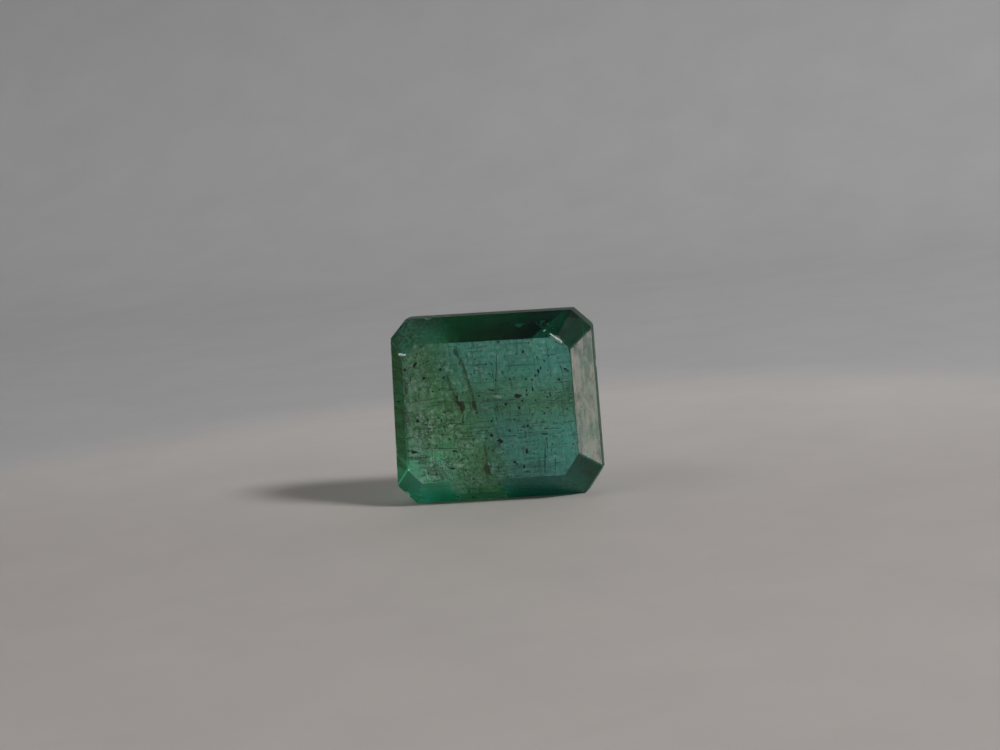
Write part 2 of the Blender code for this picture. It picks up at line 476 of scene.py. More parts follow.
def stain_material():
    """Rust-brown stain, thin and see-through at its edges."""
    material, tree, shader = fresh_material("iron_stain")
    place = millimetres(tree)
    grain = use_group(tree, grain_group(), {"Place": place, "Scale": 4.0, "Contrast": 2.5})
    tree.links.new(blend_colour(tree, grain.outputs["Mask"], (0.17, 0.18, 0.015),
                                (0.36, 0.36, 0.05)), shader.inputs["Base Color"])
    strength = put(tree, "ShaderNodeAttribute", attribute_name="strength").outputs["Fac"]
    breaks = ramp(tree, noise(tree, place, 2.6, 3.0, 0.6), 0.36, 0.58)
    thick = multiply_add(tree, grain.outputs["Mask"], 0.45, 0.08)
    thick = multiply_add(tree, breaks, 0.34, thick)
    tree.links.new(math_node(tree, "MULTIPLY", thick, strength, clamp=True),
                   shader.inputs["Alpha"])
    shader.inputs["Roughness"].default_value = 0.7
    return material


def mineral_material(name, dark, light, scale, rough, gloss):
    """A solid grain inside the stone, mottled between two colours."""
    material, tree, shader = fresh_material(name)
    grain = use_group(tree, grain_group(), {"Place": millimetres(tree), "Scale": scale,
                                            "Contrast": 3.0})
    tree.links.new(blend_colour(tree, grain.outputs["Mask"], dark, light),
                   shader.inputs["Base Color"])
    tree.links.new(multiply_add(tree, grain.outputs["Mask"], 0.3, rough), shader.inputs["Roughness"])
    shader.inputs["Specular IOR Level"].default_value = gloss
    bump = put(tree, "ShaderNodeBump", {"Strength": 0.4, "Distance": 0.02 * MM,
                                        "Height": grain.outputs["Height"]})
    tree.links.new(bump.outputs["Normal"], shader.inputs["Normal"])
    return material


# Shapes


def new_piece(name, vertices, quads, triangles, material):
    """Put arrays of points and faces into a mesh, in metres, and return the object."""
    mesh = bpy.data.meshes.new(name)
    faces = quads.tolist() + triangles.tolist()
    mesh.from_pydata(vertices.tolist(), [], faces)
    mesh.materials.append(material)
    mesh.polygons.foreach_set("use_smooth", np.ones(len(faces), bool))
    mesh.update()
    piece = bpy.data.objects.new(name, mesh)
    bpy.context.scene.collection.objects.link(piece)
    return piece


def store_values(piece, name, values):
    """Keep one number for each point of a piece, for its material to read."""
    layer = piece.data.attributes.new(name, "FLOAT", "POINT")
    layer.data.foreach_set("value", np.asarray(values, np.float32))


def lump_pattern(rings, sides):
    """A unit ball as rings of latitude between two poles.

    A point at latitude s from 0 to pi and longitude t from 0 to 2 pi lies at
    (sin s cos t, sin s sin t, cos s).
    """
    s = np.linspace(0.0, np.pi, rings + 2)[1:-1]
    t = np.arange(sides) * 2.0 * np.pi / sides
    s, t = np.meshgrid(s, t, indexing="ij")
    ball = np.stack((np.sin(s) * np.cos(t), np.sin(s) * np.sin(t), np.cos(s)), -1).reshape(-1, 3)
    points = np.vstack(((0.0, 0.0, 1.0), ball, (0.0, 0.0, -1.0)))
    row, column = np.meshgrid(np.arange(rings - 1), np.arange(sides), indexing="ij")
    after = (column + 1) % sides
    first = 1 + row * sides
    quads = np.stack((first + column, first + sides + column, first + sides + after,
                      first + after), -1).reshape(-1, 4)
    side = np.arange(sides)
    after = (side + 1) % sides
    last = 1 + (rings - 1) * sides
    foot = last + sides
    top = np.stack((np.zeros_like(side), 1 + side, 1 + after), -1)
    bottom = np.stack((np.full_like(side, foot), last + after, last + side), -1)
    return points, quads, np.vstack((top, bottom))


def turns(angles):
    """Rotation matrices about Y, Z and X, one for each row of three angles in radians."""
    cy, cz, cx = np.cos(angles).T
    sy, sz, sx = np.sin(angles).T
    nil, one = np.zeros_like(cy), np.ones_like(cy)
    about_y = np.stack((cy, nil, sy, nil, one, nil, -sy, nil, cy), -1).reshape(-1, 3, 3)
    about_z = np.stack((cz, -sz, nil, sz, cz, nil, nil, nil, one), -1).reshape(-1, 3, 3)
    about_x = np.stack((one, nil, nil, nil, cx, -sx, nil, sx, cx), -1).reshape(-1, 3, 3)
    return about_y @ about_z @ about_x


def lumps(name, centres, halves, rotations, bumpy, rings, sides, rng, material):
    """Many closed grains as one mesh.

    Each grain is the unit ball with every point moved in or out by up to the share bumpy,
    scaled by its three half sizes, turned by its rotation matrix and set at its centre.
    """
    ball, quads, triangles = lump_pattern(rings, sides)
    count = len(centres)
    swell = 1.0 + bumpy * rng.uniform(-1.0, 1.0, (count, len(ball), 1))
    shape = ball[None] * swell * halves[:, None, :]
    shape = np.einsum("nij,nkj->nki", rotations, shape) + centres[:, None, :]
    step = (np.arange(count) * len(ball))[:, None, None]
    return new_piece(name, shape.reshape(-1, 3), (quads[None] + step).reshape(-1, 4),
                     (triangles[None] + step).reshape(-1, 3), material)


def vein_arrays(path, width, depth, steps, sides, wobble, rng):
    """A flat closed vein along a path.

    The path is resampled at even parameters u from 0 to 1. The cross-section at u is an
    ellipse, width w(u) = width * sqrt(sin(pi u)) * (1 + wobble) across the view and the given
    depth into the stone, so both ends close to a point.
    """
    path = np.asarray(path, float)
    u = np.linspace(0.0, 1.0, steps)
    knots = np.linspace(0.0, 1.0, len(path))
    line = np.stack([np.interp(u, knots, path[:, axis]) for axis in range(3)], -1)
    line[:, 0] += rng.normal(0.0, wobble * 0.06, steps) * MM
    ahead = np.gradient(line, axis=0)
    ahead /= np.linalg.norm(ahead, axis=1, keepdims=True)
    inward = np.array((0.0, 1.0, 0.0))
    across = np.cross(ahead, inward)
    across /= np.linalg.norm(across, axis=1, keepdims=True)
    deep = np.cross(across, ahead)
    taper = np.sqrt(np.sin(np.pi * u)) * (1.0 + wobble * rng.uniform(-1.0, 1.0, steps))
    taper = np.clip(taper, 0.0, None)[1:-1, None, None]
    t = (np.arange(sides) * 2.0 * np.pi / sides)[None, :, None]
    rings = line[1:-1, None, :] + taper * (np.cos(t) * across[1:-1, None, :] * width
                                           + np.sin(t) * deep[1:-1, None, :] * depth)
    points = np.vstack((line[:1], rings.reshape(-1, 3), line[-1:]))
    _, quads, triangles = lump_pattern(steps - 2, sides)
    return points, quads, triangles


def join_arrays(parts):
    """Join several (points, quads, triangles) into one set."""
    starts = np.cumsum([0] + [len(part[0]) for part in parts[:-1]])
    points = np.vstack([part[0] for part in parts])
    quads = np.vstack([part[1] + start for part, start in zip(parts, starts)])
    triangles = np.vstack([part[2] + start for part, start in zip(parts, starts)])
    return points, quads, triangles


def facet_planes():
    """Outward normals and distances of the stone's flat facets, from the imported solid."""
    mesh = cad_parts[NODE].data
    count = len(mesh.polygons)
    normal, centre, area = np.empty(count * 3), np.empty(count * 3), np.empty(count)
    mesh.polygons.foreach_get("normal", normal)
    mesh.polygons.foreach_get("center", centre)
    mesh.polygons.foreach_get("area", area)
    normal, centre = normal.reshape(-1, 3), centre.reshape(-1, 3)
    large = area > 0.02 * MM * MM
    normal, centre = normal[large], centre[large]
    return normal, (normal * centre).sum(1)


def room(points, planes):
    """How deep each point lies inside the stone, in metres."""
    normal, distance = planes
    every = distance[None] - points @ normal.T
    return np.where(every > -1.0 * MM, every, -1.0 * MM).min(1)


def settle(points, margin, planes):
    """Push points away from the table until they lie inside the stone by the margin."""
    points = points.copy()
    for _ in range(6):
        short = np.clip(margin - room(points, planes), 0.0, None)
        points[:, 1] += short * 1.4
    return points


def scatter(count, low, high, margin, planes, rng):
    """Random places in a box that lie inside the stone by the margin."""
    found = np.empty((0, 3))
    while len(found) < count:
        tries = rng.uniform(low, high, (count * 2, 3)) * MM
        found = np.vstack((found, tries[room(tries, planes) > margin]))
    return found[:count]


def dress(piece):
    """Say that a piece belongs to the stone."""
    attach(piece, BODY)


# The stone


CROWN_DIRECTIONS = {  # outward directions of the crown facets, in order round the table
    "right": (0.851, -0.524, -0.021), "upper_right": (0.536, -0.653, 0.536),
    "top": (0.015, -0.639, 0.769), "upper_left": (-0.513, -0.693, 0.506),
    "left": (-0.814, -0.578, 0.057), "lower_left": (-0.494, -0.733, -0.468),
    "bottom": (0.0, -0.678, -0.735), "lower_right": (0.580, -0.678, -0.451),
}
RIM_PAINTED_SHADES = {  # painted shade: how strongly each crown facet's colour is darkened against the table
    "upper_right": 1.1, "top": 1.0, "upper_left": 0.9, "left": 0.8, "lower_left": 1.85,
    "bottom": 1.62, "lower_right": 1.80,
}
GIRDLE_FRONT = -0.80 * MM  # where the crown meets the girdle
GIRDLE_LIMIT = 0.05  # a facet is part of the girdle if its normal leans less than this out of XZ


def ground_stone(settings):
    """The stone's surface: a copy of the solid with its facets made whole and its edges worn."""
    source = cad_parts[NODE]
    bm = bmesh.new()
    bm.from_mesh(source.data)
    bmesh.ops.remove_doubles(bm, verts=bm.verts[:], dist=0.002 * MM)
    bmesh.ops.dissolve_limit(bm, angle_limit=math.radians(0.5), verts=bm.verts[:],
                             edges=bm.edges[:])
    chip = bm.faces.layers.float.new("chip")
    worn = bm.faces.layers.float.new("worn_edge")
    girdle = bm.faces.layers.float.new("girdle")
    pavilion = bm.faces.layers.float.new("pavilion")
    shade = bm.faces.layers.float.new("rim_painted_shade")
    whole = 0.25 * MM * MM
    sharp = [e for e in bm.edges if len(e.link_faces) == 2
             and min(f.calc_area() for f in e.link_faces) > whole]
    for face in bm.faces:
        if face.calc_area() < 0.02 * MM * MM:
            face[chip] = 1.0
    for face in bm.faces:
        if face.calc_area() > whole and abs(face.normal.y) < GIRDLE_LIMIT:
            face[girdle] = 1.0
        if face.normal.y > GIRDLE_LIMIT:
            face[pavilion] = 1.0
        # each crown facet keeps its painted shade
        for name, direction in CROWN_DIRECTIONS.items():
            if face.normal.dot(Vector(direction)) > 0.99:
                face[shade] = RIM_PAINTED_SHADES.get(name, 0.0)
    rounded = bmesh.ops.bevel(bm, geom=sharp, offset=settings.edge_wear, segments=2, profile=0.5,
                              affect="EDGES", clamp_overlap=True)
    for face in rounded["faces"]:
        face[chip], face[worn], face[girdle] = 0.0, 1.0, 0.0
        face[pavilion] = float(face.normal.y > GIRDLE_LIMIT)
        face[shade] = 0.0
    bmesh.ops.recalc_face_normals(bm, faces=bm.faces[:])
    mesh = bpy.data.meshes.new("ground_stone")
    bm.to_mesh(mesh)
    bm.free()
    mesh.materials.clear()
    mesh.materials.append(beryl_material(settings))
    stone = bpy.data.objects.new("cut_stone", mesh)
    bpy.context.scene.collection.objects.link(stone)
    return stone


class EMERALD_OT_stone(bpy.types.Operator):
    """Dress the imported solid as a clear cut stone"""

    bl_idname = "emerald.stone"
    bl_label = "Cut stone"

    def execute(self, context):
        stone = ground_stone(context.scene.emerald_stone)
        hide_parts("emerald")
        dress(stone)
        return {"FINISHED"}


# Pale films, partly a painted reflection of the window light: the crown facet each lies on, and its cover
FILM_AND_SHEEN_FACETS = (
    ("right", 1.0),
    ("top", 0.02),
    ("upper_right", 0.06),
)
FILM_GAP = 0.012 * MM
SKIN_GAP = 0.018 * MM
FILM_EDGE = 0.015  # share of the facet left bare along each edge
# The haze on the upper crown facet is thickest at its start (X in mm) and gone at its end
HAZE_START, HAZE_END, HAZE_RISE, HAZE_COVER = -1.9, 2.2, 0.8, 0.24


def meeting_point(planes):
    """The point where three planes meet, each given as a normal and a distance."""
    normals = np.array([normal for normal, _ in planes])
    return np.linalg.solve(normals, np.array([distance for _, distance in planes]))


def nearest_plane(direction, planes):
    """The facet plane whose outward normal is nearest to a direction."""
    normals, distances = planes
    pick = int(np.argmax(normals @ np.asarray(direction)))
    return normals[pick], distances[pick]


def film_arrays(name, planes, gap):
    """A four-sided patch just clear of a crown facet.

    With the facet's corners A and B on the table edge and D and C on the girdle edge, the point at
    u and v is (1-v)((1-u)A + uB) + v((1-u)D + uC), for u and v from one bare edge to the other.
    """
    names = list(CROWN_DIRECTIONS)
    place = names.index(name)
    before = nearest_plane(CROWN_DIRECTIONS[names[place - 1]], planes)
    after = nearest_plane(CROWN_DIRECTIONS[names[(place + 1) % len(names)]], planes)
    facet = nearest_plane(CROWN_DIRECTIONS[name], planes)
    table = nearest_plane((0.0, -1.0, 0.0), planes)
    girdle = (np.array((0.0, 1.0, 0.0)), GIRDLE_FRONT)
    corners = [meeting_point((facet, side, edge)) for edge in (table, girdle)
               for side in (before, after)]
    steps = np.linspace(FILM_EDGE, 1.0 - FILM_EDGE, 12)
    v, u = np.meshgrid(steps, steps, indexing="ij")
    u, v = u[..., None], v[..., None]
    a, b, d, c = corners
    points = (1.0 - v) * ((1.0 - u) * a + u * b) + v * ((1.0 - u) * d + u * c)
    points = (points + facet[0] * gap).reshape(-1, 3)
    number = np.arange(len(points)).reshape(v.shape[:2])
    quads = np.stack((number[:-1, :-1], number[1:, :-1], number[1:, 1:], number[:-1, 1:]),
                     -1).reshape(-1, 4)
    first = points[quads[0]]
    if np.cross(first[1] - first[0], first[2] - first[0]) @ facet[0] < 0.0:
        quads = quads[:, ::-1]
    return points, quads, np.empty((0, 3), int)


class EMERALD_OT_films(bpy.types.Operator):
    """Smear the pale dry film, partly a painted reflection of the window light, over the right crown
    facet and a little over its neighbours
    """

    bl_idname = "emerald.films"
    bl_label = "Pale film"

    def execute(self, context):
        planes = facet_planes()
        parts = [film_arrays(name, planes, FILM_GAP) for name, _ in FILM_AND_SHEEN_FACETS]
        piece = new_piece("film_and_painted_sheen", *join_arrays(parts), film_and_sheen_material())
        cover = np.repeat([amount for _, amount in FILM_AND_SHEEN_FACETS], [len(p[0]) for p in parts])
        store_values(piece, "cover", cover)
        dress(piece)
        parts = [film_arrays(name, planes, SKIN_GAP) for name in ("left", "top")]
        skin = new_piece("stained_skin", *join_arrays(parts), skin_material())
        across = parts[1][0][:, 0] / MM
        haze = HAZE_COVER * np.clip((HAZE_END - across) / (HAZE_END - HAZE_START), 0.0, 1.0)
        haze *= np.clip((across - HAZE_START) / HAZE_RISE + 1.0, 0.0, 1.0)
        store_values(skin, "cover", np.concatenate((np.ones(len(parts[0][0])), haze)))
        dress(skin)
        return {"FINISHED"}


# Inclusions

# Dark crystals seen through the table: X, Y, Z, half width, half height (mm), turn (degrees)
DARK_CRYSTALS = (
    (-3.39, -1.60, 6.88, 0.079, 0.135, -31), (-3.89, -1.70, 6.68, 0.063, 0.071, -6),
    (-3.06, -1.50, 6.20, 0.095, 0.071, 14), (-3.58, -1.60, 4.18, 0.111, 0.079, -6),
    (-2.74, -1.20, 5.51, 0.056, 0.048, -6), (-2.40, -1.30, 5.58, 0.048, 0.048, -6),
    (-2.21, -1.40, 6.55, 0.071, 0.063, -6), (-1.94, -1.70, 6.80, 0.040, 0.040, -6),
    (1.41, -1.20, 5.01, 0.198, 0.103, -1), (0.03, -1.50, 3.93, 0.063, 0.095, -31),
    (0.30, -1.40, 2.93, 0.167, 0.103, 2), (1.60, -1.60, 2.38, 0.071, 0.135, -6),
    (0.75, -1.00, 4.63, 0.087, 0.079, -6), (1.42, -1.30, 4.44, 0.071, 0.071, -6),
    (0.81, -1.20, 3.38, 0.056, 0.071, -6), (0.02, -1.50, 0.92, 0.079, 0.071, -6),
    (1.05, -1.60, 1.80, 0.063, 0.056, -6), (1.38, -1.60, 1.63, 0.056, 0.071, -6),
    (1.51, -1.60, 1.40, 0.143, 0.032, -6), (-3.36, -1.50, 1.62, 0.079, 0.071, -6),
    (-2.99, -1.50, 1.51, 0.063, 0.056, -6), (-2.21, -1.30, 1.75, 0.206, 0.048, -10),
    (-1.99, -1.40, 2.58, 0.095, 0.063, -26), (2.46, -1.20, 3.11, 0.198, 0.040, -10),
    (0.07, -0.80, 5.33, 0.222, 0.032, -20), (-3.94, -1.60, 2.68, 0.175, 0.071, -2),
    (-4.31, -1.60, 5.12, 0.333, 0.040, -6), (-3.48, -1.60, 8.14, 0.071, 0.056, -6),
    (-1.54, -1.40, 5.18, 0.063, 0.071, -6), (-1.56, -1.30, 4.94, 0.071, 0.071, -6),
    (-0.72, -1.10, 4.32, 0.087, 0.040, -6), (-0.49, -1.20, 5.13, 0.056, 0.056, -6),
    (2.97, -1.30, 5.01, 0.040, 0.103, 14), (3.39, -1.40, 4.82, 0.040, 0.040, -6),
    (2.55, -1.50, 6.80, 0.040, 0.040, -6), (-0.40, -1.70, 6.95, 0.032, 0.032, -6),
    (3.93, -1.50, 6.06, 0.032, 0.071, -6), (2.54, -1.40, 6.13, 0.063, 0.119, 4),
    (2.34, -1.30, 5.93, 0.056, 0.056, -6), (2.16, -1.20, 5.73, 0.063, 0.048, -6),
    (2.66, -1.30, 6.27, 0.048, 0.095, 9), (2.88, -1.40, 6.62, 0.040, 0.079, 19),
    (3.10, -1.40, 6.84, 0.032, 0.063, 24), (2.12, -1.10, 5.26, 0.048, 0.095, -6),
    (1.83, -1.10, 5.25, 0.048, 0.056, -6), (-2.56, -1.50, 4.26, 0.063, 0.032, -6),
    (-2.45, -1.30, 4.09, 0.040, 0.063, -6), (-4.35, -1.60, 3.77, 0.048, 0.079, -6),
    (-4.30, -1.70, 7.57, 0.071, 0.079, -6), (-1.19, -1.50, 1.20, 0.048, 0.040, -6),
    (3.98, -1.70, 1.24, 0.063, 0.040, -6), (-0.84, -1.60, 0.98, 0.040, 0.056, -6),
    (1.52, -1.10, 3.52, 0.040, 0.032, -6), (1.80, -0.90, 3.40, 0.048, 0.032, -6),
    (-0.28, -1.40, 3.48, 0.048, 0.040, -6), (-1.41, -1.20, 3.93, 0.056, 0.032, -6),
    (-3.22, -1.50, 3.96, 0.079, 0.040, -6), (-4.11, -1.70, 0.63, 0.040, 0.040, -6),
    (-0.94, -1.60, 3.14, 0.087, 0.028, -6), (-0.37, -1.40, 3.10, 0.063, 0.040, -6),
    (-0.25, -1.30, 1.73, 0.040, 0.032, -6), (0.17, -1.50, 6.19, 0.032, 0.048, -6),
)

# Straight growth tubes that stand out: start and end (X, Y, Z in mm) and radius (mm)
LONG_TUBES = (
    ((-2.16, -1.40, 3.95), (-1.38, -1.40, 3.88), 0.018),
    ((-1.95, -1.40, 3.18), (-0.86, -1.40, 3.10), 0.020),
    ((0.40, -1.40, 3.16), (1.20, -1.40, 3.13), 0.018),
    ((-3.17, -1.40, 2.79), (-1.52, -1.40, 2.68), 0.012),
    ((-2.55, -1.40, 3.44), (-2.19, -1.40, 3.37), 0.016),
    ((0.63, -1.40, 7.14), (0.38, -1.40, 5.32), 0.020),
    ((2.49, -1.40, 2.72), (2.32, -1.40, 1.22), 0.024),
    ((2.91, -1.40, 2.03), (2.81, -1.40, 1.15), 0.018),
    ((-4.74, -1.70, 2.44), (-3.18, -1.50, 2.39), 0.020),
)

# Rust-brown stained cracks: path (X, Y, Z in mm), half width and half depth (mm), strength
STAINED_CRACKS = (
    (((-1.22, -1.60, 7.84), (-1.31, -1.50, 7.39), (-1.12, -1.40, 6.83), (-1.00, -1.30, 6.29),
      (-0.89, -1.20, 5.55), (-0.79, -1.10, 5.17), (-0.84, -1.00, 4.56)), 0.040, 0.05, 0.90),
    (((-1.24, -1.50, 7.60), (-1.16, -1.40, 6.90), (-0.95, -1.30, 5.90), (-0.82, -1.10, 4.90)),
     0.12, 0.05, 0.26),
    (((-0.81, -1.15, 4.95), (-0.83, -1.05, 4.70), (-0.82, -1.00, 4.42)), 0.095, 0.06, 0.85),
    (((-1.34, -1.50, 7.66), (-1.35, -1.50, 7.30), (-1.26, -1.45, 7.06)), 0.080, 0.05, 0.80),
    (((-2.00, -1.50, 6.54), (-1.88, -1.38, 5.96), (-1.73, -1.27, 5.37), (-1.57, -1.15, 4.93),
      (-1.42, -1.03, 4.68), (-1.46, -0.92, 4.10), (-1.50, -0.80, 3.77)), 0.038, 0.05, 0.75),
    (((-1.95, -1.45, 6.30), (-1.72, -1.25, 5.40), (-1.45, -1.05, 4.70), (-1.50, -0.90, 3.90)),
     0.20, 0.05, 0.22),
    (((-1.68, -1.15, 5.02), (-1.50, -1.10, 4.78), (-1.36, -1.05, 4.70)), 0.100, 0.06, 0.65),
    (((-1.40, -1.10, 4.95), (-1.40, -1.05, 4.66), (-1.45, -1.00, 4.36)), 0.120, 0.06, 0.85),
    (((-0.46, -1.50, 1.97), (-0.48, -1.45, 1.64), (-0.40, -1.40, 1.34)), 0.120, 0.06, 0.80),
    (((-0.52, -1.45, 2.40), (-0.45, -1.40, 1.70), (-0.40, -1.35, 1.10)), 0.26, 0.05, 0.18),
    (((-0.37, -1.40, 3.04), (-0.48, -1.30, 2.63), (-0.47, -1.20, 2.13)), 0.070, 0.04, 0.45),
    (((-4.55, -1.50, 5.12), (-4.00, -1.50, 5.09), (-2.60, -1.30, 5.16)), 0.035, 0.05, 0.45),
    (((-4.60, -1.50, 4.75), (-4.20, -1.50, 4.40), (-4.00, -1.50, 3.90)), 0.16, 0.05, 0.30),
    (((-4.60, -1.50, 2.80), (-4.20, -1.50, 2.74), (-3.85, -1.50, 2.68)), 0.060, 0.04, 0.55),
    (((-4.60, -1.50, 2.45), (-4.00, -1.50, 2.36), (-3.10, -1.40, 2.44)), 0.10, 0.05, 0.28),
    (((-0.60, -1.00, 5.35), (0.10, -0.90, 5.28), (0.70, -0.80, 5.36)), 0.11, 0.05, 0.20),
    (((-0.04, -0.90, 4.96), (0.74, -0.85, 4.74), (1.70, -0.80, 4.64), (2.67, -0.75, 4.60),
      (3.93, -0.70, 4.44)), 0.13, 0.05, 0.20),
)

# Sugary veils of pale grains: middle X, Y, Z, half sizes X, Z (mm), turn (degrees), share of grains
VEILS = (
    (-4.00, -1.60, 6.20, 0.13, 1.00, 3.0, 0.14), (-3.90, -1.55, 4.38, 0.30, 0.16, 20.0, 0.06),
    (-3.30, -1.50, 3.60, 0.55, 0.40, 0.0, 0.07), (-3.60, -1.55, 2.25, 0.28, 0.22, 0.0, 0.06),
    (-3.05, -1.55, 1.75, 0.50, 0.34, 25.0, 0.17), (-2.30, -1.40, 2.10, 0.60, 0.35, 0.0, 0.08),
    (-2.06, -1.50, 4.55, 0.20, 0.09, 0.0, 0.04), (0.48, -1.50, 4.52, 0.24, 0.09, -10.0, 0.05),
    (-2.70, -1.30, 6.90, 0.80, 0.50, 10.0, 0.06), (-3.70, -1.20, 7.90, 0.50, 0.28, 15.0, 0.05),
    (1.82, -1.35, 8.28, 0.20, 0.05, -8.0, 0.02), (2.95, -1.30, 8.15, 0.45, 0.25, 30.0, 0.02),
    (-1.60, -1.20, 3.20, 1.10, 1.00, 0.0, 0.09), (2.60, -1.10, 3.60, 1.10, 1.20, 0.0, 0.06),
)
# Pale fractured stone and painted glints in the chips: middle X, Y, Z, half length, depth and width (mm),
# turn in the table (degrees)
FRACTURES_AND_GLINTS = (
    (-3.79, -2.062, 7.43, 0.110, 0.045, 0.058, 0.0), (-3.92, -1.995, 7.43, 0.090, 0.075, 0.064, 0.0),
    (-4.03, -1.845, 7.43, 0.075, 0.085, 0.058, 0.0), (-4.12, -1.720, 7.43, 0.065, 0.085, 0.050, 0.0),
    (3.50, -2.050, 7.82, 0.190, 0.045, 0.034, 40.0), (3.63, -2.045, 7.71, 0.230, 0.048, 0.042, 44.0),
    (3.76, -2.035, 7.63, 0.200, 0.045, 0.030, 38.0), (3.86, -2.020, 7.50, 0.110, 0.042, 0.034, 46.0),
    (-2.12, -1.75, 4.15, 0.035, 0.030, 0.035, 0.0), (3.05, -1.775, 8.02, 0.120, 0.024, 0.022, -35.0),
)


class EMERALD_OT_crystals(bpy.types.Operator):
    """Grow the dark crystals: those that stand out and a fine scatter between them"""

    bl_idname = "emerald.crystals"
    bl_label = "Dark crystals"

    def execute(self, context):
        settings = context.scene.emerald_inclusions
        rng = np.random.default_rng(settings.seed)
        planes = facet_planes()
        rows = np.array(DARK_CRYSTALS)
        centres = settle(rows[:, :3] * MM, 0.10 * MM, planes)
        halves = np.stack((rows[:, 3], rows[:, 3:5].min(1), rows[:, 4]), -1) * 0.9 * MM
        angles = np.zeros((len(rows), 3))
        angles[:, 0] = -np.radians(rows[:, 5])
        fine = settings.fine_grains
        spots = scatter(fine, (-4.9, -1.95, 0.2), (4.8, 1.5, 8.7), 0.08 * MM, planes, rng)
        small = rng.gamma(2.0, 0.005, (fine, 1)) * MM + 0.006 * MM
        long = small * rng.uniform(0.7, 2.2, (fine, 3))
        centres = np.vstack((centres, spots))
        halves = np.vstack((halves, long))
        angles = np.vstack((angles, rng.uniform(-np.pi, np.pi, (fine, 3))))
        dark = mineral_material("dark_crystal", (0.0, 0.003, 0.001), (0.006, 0.012, 0.004), 9.0, 0.5,
                                0.05)
        piece = lumps("dark_crystals", centres, halves, turns(angles), 0.42, 4, 7, rng, dark)
        dress(piece)
        return {"FINISHED"}


class EMERALD_OT_tubes(bpy.types.Operator):
    """Draw the thin straight growth tubes that run level and upright through the stone"""

    bl_idname = "emerald.tubes"
    bl_label = "Growth tubes"

    def execute(self, context):
        settings = context.scene.emerald_inclusions
        rng = np.random.default_rng(settings.seed + 1)
        planes = facet_planes()
        count = settings.tubes
        middles = scatter(count, (-4.6, -1.9, 0.5), (4.5, 0.8, 8.4), 0.35 * MM, planes, rng)
        clear = (middles[:, 0] > -0.6 * MM) & (middles[:, 2] > 5.2 * MM)
        middles = middles[~clear | (rng.random(count) < 0.4)]
        count = len(middles)
        clear = (middles[:, 0] > -0.6 * MM) & (middles[:, 2] > 5.2 * MM)
        upright = rng.random(count) < np.where(clear, 0.85, 0.40)
        half = rng.uniform(0.10, 0.42, count) * MM
        half = np.minimum(half, room(middles, planes) * 0.8)
        thin = rng.uniform(0.005, 0.013, count) * MM
        angles = rng.normal(0.0, 0.03, (count, 3))
        angles[:, 0] += np.where(upright, 0.0, np.pi / 2.0) - np.radians(3.0)
        halves = np.stack((thin, thin, half), -1)
        rows = np.array([(*start, *end, radius) for start, end, radius in LONG_TUBES]) * MM
        run = rows[:, 3:6] - rows[:, :3]
        centre = settle((rows[:, :3] + rows[:, 3:6]) / 2.0, 0.12 * MM, planes)
        length = np.linalg.norm(run, axis=1)
        lean = np.stack((np.arctan2(run[:, 0], run[:, 2]), np.zeros(len(run)),
                         np.zeros(len(run))), -1)
        middles = np.vstack((middles, centre))
        halves = np.vstack((halves, np.stack((rows[:, 6], rows[:, 6], length / 2.0), -1)))
        angles = np.vstack((angles, lean))
        dark = mineral_material("growth_tube", (0.001, 0.006, 0.003), (0.006, 0.02, 0.012), 6.0, 0.5,
                                0.05)
        piece = lumps("growth_tubes", middles, halves, turns(angles), 0.12, 6, 5, rng, dark)
        dress(piece)
        return {"FINISHED"}


class EMERALD_OT_stains(bpy.types.Operator):
    """Lay the rust-brown stained cracks"""

    bl_idname = "emerald.stains"
    bl_label = "Stained cracks"

    def execute(self, context):
        settings = context.scene.emerald_inclusions
        rng = np.random.default_rng(settings.seed + 2)
        planes = facet_planes()
        parts = []
        for path, width, depth, _ in STAINED_CRACKS:
            line = settle(np.array(path) * MM, 0.12 * MM, planes)
            parts.append(vein_arrays(line, width * MM, depth * MM, 40, 8, 0.25, rng))
        piece = new_piece("stained_cracks", *join_arrays(parts), stain_material())
        strength = np.repeat([row[3] for row in STAINED_CRACKS], [len(part[0]) for part in parts])
        store_values(piece, "strength", strength)
        dress(piece)
        return {"FINISHED"}


class EMERALD_OT_flakes(bpy.types.Operator):
    """Gather pale grains into sugary veils"""

    bl_idname = "emerald.flakes"
    bl_label = "Pale veils"

    def execute(self, context):
        settings = context.scene.emerald_inclusions
        rng = np.random.default_rng(settings.seed + 3)
        planes = facet_planes()
        rows = np.array(VEILS)
        counts = np.round(rows[:, 6] * settings.flakes).astype(int)
        owner = np.repeat(np.arange(len(rows)), counts)
        total = len(owner)
        spread = rng.normal(0.0, 0.55, (total, 2)) * rows[owner, 3:5]
        tilt = np.radians(rows[owner, 5])
        centres = rows[owner, :3].copy()
        centres[:, 0] += np.cos(tilt) * spread[:, 0] + np.sin(tilt) * spread[:, 1]
        centres[:, 2] += np.cos(tilt) * spread[:, 1] - np.sin(tilt) * spread[:, 0]
        centres[:, 1] += rng.uniform(-0.25, 0.35, total)
        halves = (rng.gamma(2.0, 0.008, (total, 1)) + 0.012) * MM * rng.uniform(0.5, 1.8, (total, 3))
        halves = np.minimum(halves, 0.07 * MM)
        centres = settle(centres * MM, 0.10 * MM, planes)
        angles = rng.uniform(-np.pi, np.pi, (total, 3))
        pale = mineral_material("pale_flake", (0.55, 0.72, 0.60), (0.90, 0.96, 0.90), 6.0, 0.3, 0.5)
        piece = lumps("pale_veils", centres, halves, turns(angles), 0.35, 3, 5, rng, pale)
        dress(piece)
        return {"FINISHED"}


